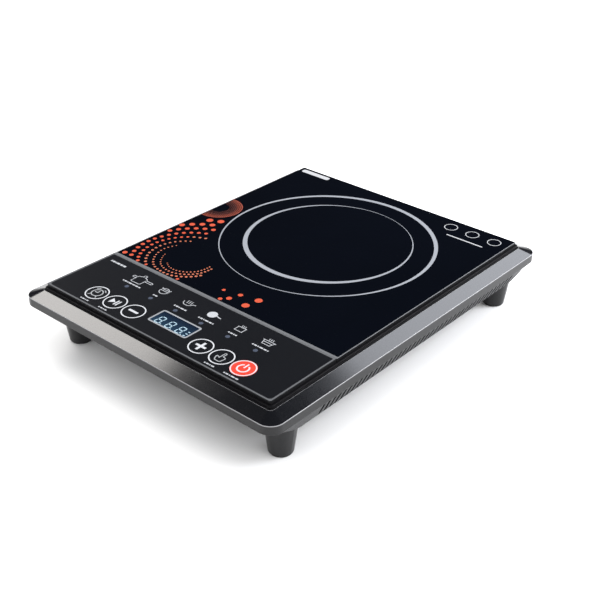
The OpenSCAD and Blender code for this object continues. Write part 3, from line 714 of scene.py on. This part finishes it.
def glass():
    """The plate with its ground edges. The front edge is ground wide and shallow."""
    edge, front = sizes().glass_edge, sizes().glass_front
    low, high = (GLASS_LOW[0], GLASS_LOW[1]), (GLASS_HIGH[0], GLASS_HIGH[1])
    radii = (1.5 * MM, 1.5 * MM, 0.6 * MM, 0.6 * MM)
    drop = 0.35 * MM
    rings = []
    for inset, inset_front, z in ((0.3 * MM, 0.3 * MM, GLASS_LOW[2]), (0, 0, GLASS_LOW[2] + 0.3 * MM),
                                  (0, 0, DECK_TOP - drop), (edge, front, DECK_TOP)):
        outline = rounded((low[0] + inset, low[1] + inset_front),
                          (high[0] - inset, high[1] - inset), radii, 5)
        rings.append([(x, y, z) for x, y in outline])
    shape = Shape()
    loft(shape, rings, [2, 2, 1])
    shape.marks[-1] = 0
    # The ground top band takes the lighter grey, which is partly a painted highlight.
    paints = [finish("black_glass"), ground_edge_highlight(), finish("recess_black")]
    made = shape.piece("glass_top", paints, smooth_angle=8)
    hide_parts("glass_plate")
    return made


def crescent(shape, centre, outer, inner, shift):
    """A ring whose hole is off centre, so that it is thick on one side and thin on the other."""
    shape.band(circle(centre, outer, 160), circle((centre[0] + shift[0], centre[1] + shift[1]), inner, 160))


def zone_rings():
    centre = (-0.5 * MM, (COIL_LOW[1] + COIL_HIGH[1]) / 2 + 0.9 * MM)
    big, small = sizes().ring_outer, sizes().ring_inner
    shape = Shape()
    crescent(shape, centre, big, big - 2.3 * MM, (-0.3 * MM, -1.6 * MM))
    crescent(shape, centre, small, small - 2.4 * MM, (0.5 * MM, 1.9 * MM))
    return shape.piece("zone_rings", [ink("ring_silver", (0.22, 0.232, 0.258), 0.35)])


def glass_marks():
    """Plain stand-ins at the back of the glass: a bar on the left, three rounds over a bar on the right."""
    shape = Shape()
    left, back = -DECK_W + 4.5 * MM, DECK_D - 4 * MM
    shape.patch(rounded((left, back - 6 * MM), (left + 34 * MM, back), 2 * MM, 4))
    for x in (65, 88, 111):
        shape.stroke(circle((x * MM, DECK_D - 14 * MM), 6 * MM, 32), 0.7 * MM, closed=True)
    shape.patch(rounded((70 * MM, DECK_D - 29.5 * MM), (108 * MM, DECK_D - 28 * MM), 0.7 * MM, 3))
    return shape.piece("glass_marks", [ink("mark_white", (0.36, 0.365, 0.38), 0.4)])


def label(shape, centre, length, height):
    """A plain row of uneven dashes in place of words. centre, length and height are in millimetres."""
    x = centre[0] - length / 2
    step = 3
    while x < centre[0] + length / 2 - 0.8:
        step = (step * 7 + 3) % 11
        dash = min(0.9 + step * 0.28, centre[0] + length / 2 - x)
        shape.patch(rounded((x * MM, (centre[1] - height / 2) * MM),
                            ((x + dash) * MM, (centre[1] + height / 2) * MM), 0.12 * height * MM, 2))
        x += dash + 0.7


def between(keys, at):
    """Value at a place along a short list of (place, value) pairs."""
    for (a, low), (b, high) in zip(keys, keys[1:]):
        if at <= b:
            return low + (high - low) * max(0.0, at - a) / (b - a)
    return keys[-1][1]


# How the swirl's rows change on the way round, by angle in degrees; lengths in millimetres.
SWIRL_CENTRE = (-71.5, -51.7)
SWIRL_START, SWIRL_STOP = 112.6, 355
SWIRL_MIDDLE = ((120, 46.0), (165, 47.2), (190, 48.8), (225, 50.8), (250, 50.9), (270, 48.6), (290, 49.0),
                (310, 48.1), (330, 47.3), (355, 45.7))
SWIRL_PITCH = ((120, 9.0), (165, 7.4), (190, 7.1), (225, 6.9), (250, 6.1), (270, 5.0), (310, 4.2), (330, 3.9))
SWIRL_INNER = ((112, 36.0), (123, 29.0), (133, 28.5), (163, 24.6), (205, 24.0), (206, 20.0), (265, 20.0),
               (290, 23.5), (310, 24.8), (330, 25.5), (355, 24.5))
SWIRL_OUTER = ((112, 75.5), (122, 75.5), (124, 66.0), (142, 65.0), (146, 90.0), (285, 90.0), (288, 43.0),
               (305, 43.0), (306, 38.5), (334, 38.0), (336, 33.5))
SWIRL_STEP = ((235, 8.4), (260, 7.6), (290, 7.0), (320, 6.6), (355, 6.3))
# Loose dots by the swirl's tail, each (x, y, radius) in millimetres.
LOOSE_DOTS = ((-8.8, -72.7, 1.6), (7.3, -69.7, 2.2), (24.3, -66.3, 3.3), (3.9, -79.6, 2.4),
              (21.7, -78.9, 3.3), (-1.0, -84.8, 1.9))
GLASS_MARGIN = 0.7      # bare glass left along the plate's side


def swirl_places():
    """Staggered rows of dots round one centre. Rows close up and dots shrink towards the tail."""
    turns = [SWIRL_START]
    while turns[-1] < SWIRL_STOP:
        turns.append(turns[-1] + between(SWIRL_STEP, turns[-1]) / 2)
    found = []
    for k in range(-3, 10):
        for angle in turns[k % 2::2]:
            r = between(SWIRL_MIDDLE, angle) + (k - 3) * between(SWIRL_PITCH, angle)
            if between(SWIRL_INNER, angle) <= r <= between(SWIRL_OUTER, angle):
                out = r - 24
                found.append((SWIRL_CENTRE[0] + r * math.cos(math.radians(angle)),
                              SWIRL_CENTRE[1] + r * math.sin(math.radians(angle)),
                              0.66 + 0.048 * out + 0.0001 * out * out))
    return found


def whole_on_glass(x, y, r):
    """True if a dot isn't cut by the left or front edge of the glass. Values in millimetres."""
    return x - r > -DECK_W / MM + GLASS_MARGIN and y - r > GLASS_LOW[1] / MM + sizes().glass_front / MM + 0.1


def curl_places():
    """Close rings of small dots cut by the glass edge, as the inner rows and the outer rows."""
    centre, first, row_pitch, dot_pitch, inner_rows = (-121.4, 36.6), 9.6, 1.9, 1.75, 4
    found = ([], [])
    for row in range(7):
        r, size = first + row_pitch * row, 0.30 + 0.055 * row
        count = int(2 * math.pi * r / dot_pitch)
        for i in range(count):
            a = 2 * math.pi * (i + 0.5 * (row % 2)) / count
            x, y = centre[0] + r * math.cos(a), centre[1] + r * math.sin(a)
            if x - size > -DECK_W / MM + GLASS_MARGIN:
                found[row >= inner_rows].append((x, y, size))
    return found


def dot_prints():
    tree = dot_tree()
    pale_below = 1.35
    swirl = [dot for dot in swirl_places() if whole_on_glass(*dot)]
    big = [dot for dot in swirl if dot[2] >= pale_below] + list(LOOSE_DOTS)
    small = [dot for dot in swirl if dot[2] < pale_below]
    inner, outer = curl_places()
    for name, found, paint, sides in (
            ("dot_swirl", big, ink("dot_orange", tuple(colours().orange), 0.4, 0.1), 24),
            ("dot_swirl_tail", small, ink("dot_pale", (0.38, 0.105, 0.052), 0.4, 0.15), 16),
            ("dot_curl", inner, ink("dot_rose", (0.22, 0.060, 0.040), 0.45, 0.2), 10),
            ("dot_curl_rim", outer, ink("dot_rust", (0.36, 0.068, 0.034), 0.45, 0.2), 10)):
        dots(name, [(x * MM, y * MM, r * MM) for x, y, r in found], paint, tree, sides)


def lamp_places():
    first = (LAMPS_LOW[0] + (LAMPS_HIGH[1] - LAMPS_LOW[1]) / 2)
    last = -first
    return [first + (last - first) * i / 5 for i in range(6)]


def overlay_border():
    """Silver line round the control panel, with cut inner corners."""
    width = sizes().border_w
    low, high = (PANEL_LOW[0], PANEL_LOW[1]), (PANEL_HIGH[0], PANEL_HIGH[1])
    radii = (0.3 * MM, 0.3 * MM, 1.5 * MM, 1.5 * MM)
    inset, inset_back = 0.25 * MM, 0.1 * MM
    outer = rounded((low[0] + inset, low[1] + inset), (high[0] - inset, high[1] - inset_back), radii, 4)
    inner = rounded((low[0] + width, low[1] + width), (high[0] - width, high[1] - width),
                    (0.8 * MM, 0.8 * MM, 3.0 * MM, 3.0 * MM), 4)
    shape = Shape()
    shape.band(outer, inner)
    return shape.piece("overlay_border", [ink("border_silver", tuple(colours().silver), 0.35)])


def mode_symbols():
    """Six plain pot and pan outlines above the lamps, with a dash label under each."""
    shape = Shape()
    pen = 0.62 * MM
    row = (LAMPS_LOW[1] + LAMPS_HIGH[1]) / 2 + 14.9 * MM
    xs = lamp_places()

    def at(i, points):
        return [(xs[i] + x * MM, row + y * MM) for x, y in points]

    def steam(i, places, low, high):
        for x in places:
            wave = [(x + 0.35 * math.sin(t * 1.6), low + (high - low) * t / 4) for t in range(5)]
            shape.stroke(at(i, wave), pen * 0.8)

    # Pot with a lid, a side grip and a long handle
    shape.stroke(at(0, [(-5.4, 1.2), (-5.4, -5.4), (-4.6, -6.2), (4.6, -6.2), (5.4, -5.4), (5.4, 1.2)]), pen)
    shape.stroke(at(0, [(-6.2, 1.2), (-4.6, 3.6), (-1.8, 4.4), (1.8, 4.4), (4.6, 3.6), (6.2, 1.2)]), pen)
    shape.stroke(at(0, rounded((-1.5, 4.5), (1.5, 7.2), 0.8, 3)), pen, closed=True)
    shape.stroke(at(0, rounded((5.6, -0.3), (13.6, 1.9), 0.9, 3)), pen, closed=True)
    shape.stroke(at(0, rounded((-9.6, -0.3), (-5.6, 1.9), 0.9, 3)), pen, closed=True)
    # Bowl with a wavy top
    shape.stroke(at(1, arc((0, 0.2), 4.4, 180, 360, 12) + [(4.4, 1.6)]), pen)
    shape.stroke(at(1, [(-4.4, 0.2), (4.4, 0.2)]), pen)
    shape.stroke(at(1, [(-4.9, 3.8), (-4.3, 2.2), (4.3, 2.2), (4.9, 3.8)]), pen)
    shape.stroke(at(1, [(-3.6, 2.6), (-1.8, 3.8), (0, 4.4), (1.8, 3.8), (3.6, 2.6)]), pen)
    # Open pan
    shape.stroke(at(2, [(-5.6, 0.8), (-4.6, -1.8), (-2.6, -3.4), (1.6, -3.4), (3.6, -1.8), (4.6, 0.2),
                        (7.4, 0.9)]), pen)
    steam(2, (-2.2, 0.0, 2.2), -0.8, 3.6)
    # Round flat pan
    shape.patch([(xs[3] + x, row + y) for x, y in circle((-2.4 * MM, 0.2 * MM), 4.35 * MM, 40)])
    shape.stroke(at(3, [(1.7, 0.7), (4.2, 0.2), (7.2, -0.2)]), pen * 1.5)
    # Tall pot
    shape.stroke(at(4, [(-4.6, 1.7), (-3.8, 1.7), (-3.8, -3.8), (3.8, -3.8), (3.8, 1.7), (4.6, 1.7)]), pen)
    shape.stroke(at(4, [(-3.6, 1.7), (3.6, 1.7)]), pen)
    steam(4, (-1.7, 0.0, 1.7), 2.4, 4.6)
    # Wide pot with two grips
    shape.stroke(at(5, [(-6.4, 1.0), (-5.2, 1.0), (-3.8, -3.9), (3.8, -3.9), (5.2, 1.0), (6.4, 1.0)]), pen)
    shape.stroke(at(5, [(-5.0, 1.2), (5.0, 1.2)]), pen)
    shape.stroke(at(5, [(-4.5, -1.1), (4.5, -1.1)]), pen)
    steam(5, (-1.9, 0.0, 1.9), 2.0, 4.4)
    words = (21.5, 5.5, 14.0, 16.5, 9.0, 16.5)
    for x, length in zip(xs, words):
        label(shape, (x / MM, row / MM - 9.6), length, 1.5)
    label(shape, (-107.0, row / MM + 6.2), 19.0, 2.2)
    for name, length in (("timer", 9.5), ("pause", 9.5), ("menu", 10.0), ("power", 14.5)):
        lo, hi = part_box(name + "_key")
        label(shape, ((lo[0] + hi[0]) / 2 / MM, lo[1] / MM - 2.9), length, 1.3)
    return shape.piece("mode_symbols", [ink("symbol_grey", (0.34, 0.35, 0.37), 0.45)])


def digit(shape, centre, height, parts):
    """A seven-part digit. parts lists which bars show, from the top one clockwise and the middle last."""
    w, h, bar = height * 0.54, height, height * 0.095
    slant = 0.08
    x0, x1, y0, y1, ym = -w / 2, w / 2, -h / 2, h / 2, 0.0
    gap = bar * 0.35
    bars = (((x0, y1), (x1, y1)), ((x1, y1), (x1, ym)), ((x1, ym), (x1, y0)), ((x0, y0), (x1, y0)),
            ((x0, y0), (x0, ym)), ((x0, ym), (x0, y1)), ((x0, ym), (x1, ym)))
    for i in parts:
        a, b = (Vector(p) for p in bars[i])
        way = (b - a).normalized()
        side = Vector((-way.y, way.x)) * bar / 2
        a, b = a + way * (gap + bar / 2), b - way * (gap + bar / 2)
        outline = [a - way * bar / 2, a - side, b - side, b + way * bar / 2, b + side, a + side]
        shape.patch([(centre[0] + p.x + slant * p.y, centre[1] + p.y) for p in outline])


def display_prints():
    """The silver frame of the window and the three digits in it."""
    frame_w = 1.5 * MM
    low = (WINDOW_LOW[0], WINDOW_LOW[1])
    high = (WINDOW_HIGH[0], WINDOW_HIGH[1])
    border = Shape()
    border.band(rounded(low, high, 2.25 * MM, 5),
                rounded((low[0] + frame_w, low[1] + frame_w),
                        (high[0] - frame_w, high[1] - frame_w), 1.2 * MM, 5))
    border.piece("display_border", [ink("frame_silver", (0.22, 0.23, 0.245), 0.35)])
    show = Shape()
    height = sizes().digit_h
    y = low[1] + frame_w + height / 2 + 0.4 * MM
    middle = (low[0] + high[0]) / 2
    for x in (-12.6, -1.2, 10.2):
        digit(show, (middle + x * MM, y), height, range(7))
        show.patch(circle((middle + (x + 4.2) * MM, y - height / 2 + 0.3 * MM), 0.55 * MM, 12))
    for k in range(3):
        show.patch(rounded((middle + 16.6 * MM, y - height / 2 + (0.2 + 3.0 * k) * MM),
                           (middle + 18.6 * MM, y - height / 2 + (1.2 + 3.0 * k) * MM), 0.3 * MM, 2))
    show.piece("display_digits", [ink("digit_pale", (0.30, 0.43, 0.50), 0.3)])


def key_symbol(name, shape, at, unit):
    """The symbol of one key. unit is a millimetre."""
    def points(pairs):
        return [(at[0] + x * unit, at[1] + y * unit) for x, y in pairs]

    if name == "minus":
        shape.patch(points(rounded((-5.2, -1.15), (5.2, 1.15), 0.4, 3)))
    elif name == "plus":
        shape.patch(points([(-5.2, -1.1), (-1.1, -1.1), (-1.1, -5.4), (1.1, -5.4), (1.1, -1.1), (5.2, -1.1),
                            (5.2, 1.1), (1.1, 1.1), (1.1, 5.4), (-1.1, 5.4), (-1.1, 1.1), (-5.2, 1.1)]))
    elif name == "pause":
        shape.patch(points([(-5.0, -3.6), (0.2, 0.0), (-5.0, 3.6)]))
        for x in (1.4, 3.8):
            shape.patch(points(rounded((x - 0.65, -3.6), (x + 0.65, 3.6), 0.2, 2)))
    elif name == "timer":
        shape.band(points(circle((0, 0), 5.4)), points(circle((0, 0), 4.4)))
        shape.stroke(points([(-3.0, 0.3), (0.0, 0.3), (0.0, 3.3)]), 0.9 * unit)
        for turn in (55, 125):
            shape.stroke(points(arc((0, 0), 6.9, turn - 16, turn + 16, 5)), 0.9 * unit)
        for x in (-1, 1):
            shape.stroke(points([(x * 3.4, -4.4), (x * 4.7, -6.3)]), 0.9 * unit)
    elif name == "menu":
        shape.stroke(points([(-1.0, -1.6), (-1.0, 4.4), (-0.6, 5.2), (0.4, 5.2), (0.8, 4.4), (0.8, 0.9),
                             (3.6, 0.2), (4.0, -1.0), (3.4, -4.8), (2.6, -5.8), (-1.8, -5.8), (-3.0, -4.6),
                             (-4.2, -1.4), (-3.8, -0.6), (-2.8, -0.8)]), 0.8 * unit, closed=True)
    else:
        shape.stroke(points(arc((0, -0.4), 4.6, 118, 422, 40)), 1.35 * unit)
        shape.patch(points(rounded((-0.68, 0.2), (0.68, 6.2), 0.3, 2)))


def key_prints():
    white = ink("key_white", tuple(colours().white), 0.35)
    grey = ink("key_grey", (0.26, 0.27, 0.28), 0.4)
    for name in KEY_NAMES:
        lo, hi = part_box(name + "_key")
        at = ((lo[0] + hi[0]) / 2, (lo[1] + hi[1]) / 2)
        shape = Shape(hi[2])
        ring = sizes().key_ring
        shape.ring(at, ring, sizes().key_stroke, 64)
        first = len(shape.faces)
        key_symbol(name, shape, at, MM)
        dim = name in ("timer", "menu")
        shape.marks[first:] = [1 if dim else 0] * (len(shape.faces) - first)
        shape.piece(name + "_print", [white, grey], name + "_button")


def paint_nodes():
    """Every CAD node that still shows takes its slot's finish."""
    slots = {row["node"]: row["material_slot"] for row in frame["record"]["subparts"]}
    for name, node in frame["nodes"].items():
        material = finish(slots[name])
        node.data.materials.clear()
        node.data.materials.append(material)


# ---------------------------------------------------------------- stage

def floor():
    made = Finish("studio_floor")
    cloud = made.noise(3.0, 2.0)
    made.set(base_color=made.mix(cloud, (0.83, 0.83, 0.83), (0.85, 0.85, 0.85)),
             roughness=0.9, specular_ior_level=0.0)
    half = 7.0
    mesh = bpy.data.meshes.new("floor")
    corners = [(-half, -half, 0), (half, -half, 0), (half, half, 0), (-half, half, 0)]
    mesh.from_pydata(corners, [], [(0, 1, 2, 3)])
    mesh.materials.append(made.material)
    obj = bpy.data.objects.new("floor", mesh)
    bpy.context.collection.objects.link(obj)


def horizon():
    """White near the horizon and dark overhead, so that gloss stays deep black from above."""
    world = bpy.data.worlds.new("studio")
    bpy.context.scene.world = world
    world.use_nodes = True
    tree = world.node_tree
    place = tree.nodes.new("ShaderNodeTexCoord")
    parts = tree.nodes.new("ShaderNodeSeparateXYZ")
    ramp = tree.nodes.new("ShaderNodeValToRGB")
    low, high = ramp.color_ramp.elements
    low.position, low.color = 0.12, (1.0, 1.0, 1.0, 1.0)
    high.position, high.color = 0.26, (0.020, 0.022, 0.028, 1.0)
    back = tree.nodes["Background"]
    tree.links.new(place.outputs["Generated"], parts.inputs[0])
    tree.links.new(parts.outputs["Z"], ramp.inputs[0])
    tree.links.new(ramp.outputs[0], back.inputs["Color"])


def area(name, place, aim, width, height, watts, colour):
    data = bpy.data.lights.new(name, "AREA")
    data.shape = "RECTANGLE"
    data.size, data.size_y = width, height
    data.energy = watts
    data.color = colour
    lamp = bpy.data.objects.new(name, data)
    bpy.context.collection.objects.link(lamp)
    lamp.location = place
    lamp.rotation_mode = "QUATERNION"
    lamp.rotation_quaternion = (Vector(aim) - Vector(place)).to_track_quat("-Z", "Y")
    return lamp


def lights():
    area("left_softbox", (-1.09, -0.04, 1.10), (0, -0.17, 0.05), 0.55, 0.41, 6.9, (1.0, 0.97, 0.94))
    area("back_softbox", (0.06, 1.16, 1.065), (0.13, 0.05, 0.05), 0.55, 0.57, 6.3, (0.90, 0.93, 1.0))
    area("edge_light", (0.72, 0.77, 0.57), (-0.22, 0.50, 0.05), 0.65, 0.45, 12.0, (0.93, 0.95, 1.0))
    for name, way, strength, spread in (("dome", (-0.02, 0.02, -1.0), 4.7, 136),
                                        ("right_fill", (-1.0, -0.35, -0.6), 0.9, 60)):
        data = bpy.data.lights.new(name, "SUN")
        data.energy = strength
        data.angle = math.radians(spread)
        sun = bpy.data.objects.new(name, data)
        bpy.context.collection.objects.link(sun)
        sun.rotation_mode = "QUATERNION"
        sun.rotation_quaternion = Vector(way).to_track_quat("-Z", "Y")
        sun.visible_glossy = False


def camera():
    data = bpy.data.cameras.new("camera")
    data.lens = 64.30
    data.sensor_width = 36.0
    data.clip_start, data.clip_end = 0.05, 50.0
    made = bpy.data.objects.new("camera", data)
    bpy.context.collection.objects.link(made)
    made.location = (0.5360, -0.6087, 0.4980)
    azimuth, elevation, roll = math.radians(40.77), math.radians(30.40), math.radians(0.56)
    ahead = Vector((-math.sin(azimuth) * math.cos(elevation), math.cos(azimuth) * math.cos(elevation),
                    -math.sin(elevation)))
    made.rotation_mode = "QUATERNION"
    made.rotation_quaternion = ahead.to_track_quat("-Z", "Y") @ Matrix.Rotation(roll, 3, "Z").to_quaternion()
    bpy.context.scene.camera = made


# ---------------------------------------------------------------- operators

class COOKTOP_OT_stage(bpy.types.Operator):
    """Add the floor, the lights and the camera"""
    bl_idname = "cooktop.stage"
    bl_label = "Studio"

    def execute(self, context):
        context.scene.view_settings.view_transform = "Standard"
        floor()
        horizon()
        lights()
        camera()
        return {"FINISHED"}


class COOKTOP_OT_finishes(bpy.types.Operator):
    """Give every part its finish"""
    bl_idname = "cooktop.finishes"
    bl_label = "Finishes"

    def execute(self, context):
        paint_nodes()
        return {"FINISHED"}


class COOKTOP_OT_housing(bpy.types.Operator):
    """Make the upper housing and its panel deck"""
    bl_idname = "cooktop.housing"
    bl_label = "Upper housing"

    def execute(self, context):
        shell = upper_housing()
        deck = panel_deck()
        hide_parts("top_housing")
        return {"FINISHED"}


class COOKTOP_OT_glass(bpy.types.Operator):
    """Make the glass plate with its rings and marks"""
    bl_idname = "cooktop.glass"
    bl_label = "Glass"

    def execute(self, context):
        glass()
        zone_rings()
        glass_marks()
        return {"FINISHED"}


class COOKTOP_OT_dots(bpy.types.Operator):
    """Print the swirls of dots"""
    bl_idname = "cooktop.dots"
    bl_label = "Dot swirls"

    def execute(self, context):
        dot_prints()
        return {"FINISHED"}


class COOKTOP_OT_panel_prints(bpy.types.Operator):
    """Print the control panel's border, symbols and display"""
    bl_idname = "cooktop.panel_prints"
    bl_label = "Panel prints"

    def execute(self, context):
        overlay_border()
        mode_symbols()
        display_prints()
        return {"FINISHED"}


class COOKTOP_OT_key_prints(bpy.types.Operator):
    """Print the rings and symbols of the six keys"""
    bl_idname = "cooktop.key_prints"
    bl_label = "Key prints"

    def execute(self, context):
        key_prints()
        return {"FINISHED"}


STEPS = (COOKTOP_OT_stage, COOKTOP_OT_finishes, COOKTOP_OT_housing, COOKTOP_OT_glass, COOKTOP_OT_dots,
         COOKTOP_OT_panel_prints, COOKTOP_OT_key_prints)


class COOKTOP_PT_sidebar(bpy.types.Panel):
    bl_idname = "COOKTOP_PT_sidebar"
    bl_label = "Induction cooktop"
    bl_space_type = "VIEW_3D"
    bl_region_type = "UI"
    bl_category = "Cooktop"

    def draw(self, context):
        for group in (context.scene.cooktop_sizes, context.scene.cooktop_colours):
            box = self.layout.box()
            for name in group.__annotations__:
                box.prop(group, name)
        for step in STEPS:
            self.layout.operator(step.bl_idname)


CLASSES = (CooktopSizes, CooktopColours, *STEPS, COOKTOP_PT_sidebar)


def register():
    for made in CLASSES:
        bpy.utils.register_class(made)
    bpy.types.Scene.cooktop_sizes = bpy.props.PointerProperty(type=CooktopSizes)
    bpy.types.Scene.cooktop_colours = bpy.props.PointerProperty(type=CooktopColours)


def unregister():
    del bpy.types.Scene.cooktop_colours
    del bpy.types.Scene.cooktop_sizes
    for made in reversed(CLASSES):
        bpy.utils.unregister_class(made)


def main():
    register()
    for step in STEPS:
        group, name = step.bl_idname.split(".")
        getattr(getattr(bpy.ops, group), name)()


if __name__ == "__main__":
    main()
